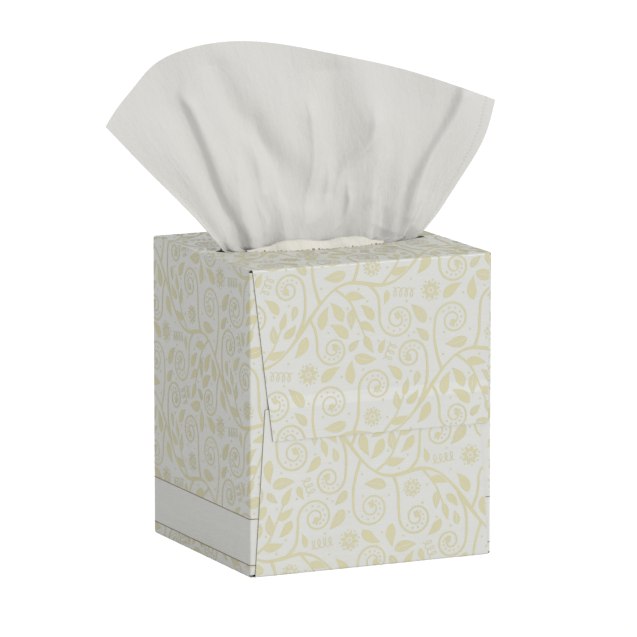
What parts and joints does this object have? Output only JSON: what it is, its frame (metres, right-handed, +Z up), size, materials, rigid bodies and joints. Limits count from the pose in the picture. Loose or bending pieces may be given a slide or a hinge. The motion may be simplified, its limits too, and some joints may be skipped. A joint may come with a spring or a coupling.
{
  "type": "tissue box",
  "caption": "Upright near-cube carton of facial tissues with glued end flaps and a torn-open top, with one tissue drawn up and fanned out.",
  "frame": {"origin": "centre of the carton's base, on the surface it stands on", "axes": "+Z up; -Y towards the glued end that is seen as the front; +X to the right of that end"},
  "size_m": [0.1835, 0.103, 0.2213],
  "materials": {
    "printed_board": "varnished outside, with a fine scrollwork print",
    "tissue": "soft two-ply tissue"
  },
  "bodies": {
    "root": {"carton": "printed_board", "tissue_clip": "tissue", "next_tissue": "tissue", "pulled_tissue": "tissue"}
  },
  "joints": []
}
